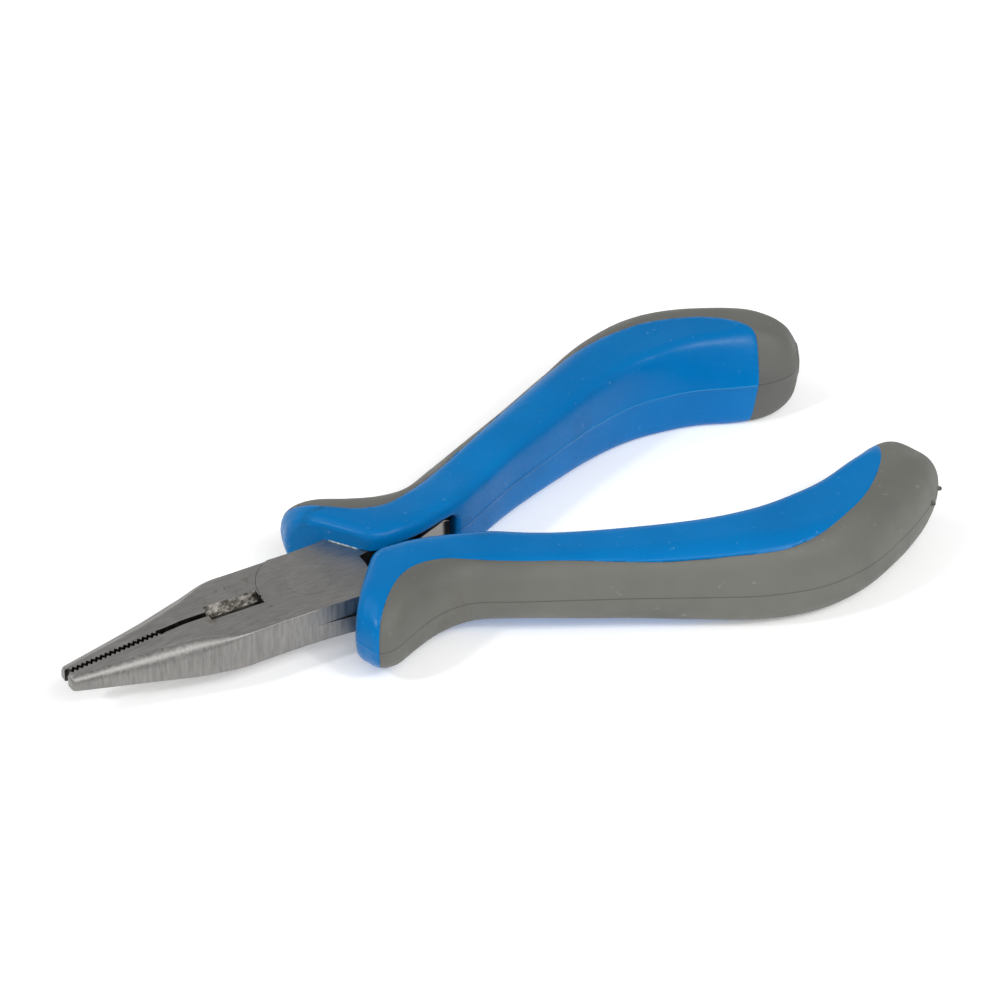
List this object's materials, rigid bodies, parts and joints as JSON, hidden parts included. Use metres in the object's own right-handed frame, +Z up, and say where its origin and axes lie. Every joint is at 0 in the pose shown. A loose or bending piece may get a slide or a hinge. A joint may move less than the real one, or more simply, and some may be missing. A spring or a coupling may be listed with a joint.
{
  "type": "flat nose pliers",
  "caption": "Small lap-jointed pliers with slim toothed jaws, a wire cutter notch, a leaf return spring and flared grips of hard and soft plastic.",
  "frame": {"origin": "under the middle of the tool, on the surface that it lies on", "axes": "+X from the jaws to the ends of the handles, +Z up along the pivot axis, +Y to the handle of the upper half"},
  "size_m": [0.1256, 0.0612, 0.0143],
  "materials": {
    "forged_steel": "ground and brushed, satin",
    "rivet_steel": "ground flush, satin",
    "spring_steel": "rolled strip, satin",
    "blue_plastic": "moulded, smooth satin",
    "grey_soft_plastic": "soft overmould, fine matt grain"
  },
  "bodies": {
    "upper_arm": {"upper_half": "forged_steel", "pivot_rivet": "rivet_steel", "return_spring": "spring_steel", "upper_grip": "blue_plastic", "upper_overmould": "grey_soft_plastic"},
    "lower_arm": {"lower_half": "forged_steel", "lower_grip": "blue_plastic", "lower_overmould": "grey_soft_plastic"}
  },
  "joints": [
    {"name": "pivot", "type": "hinge", "parent": "upper_arm", "child": "lower_arm", "pos_m": [-0.0261, 0, 0.00715], "axis": [0, 0, -1], "range_deg": [-0.9, 30], "deforming": ["return_spring"]}
  ]
}
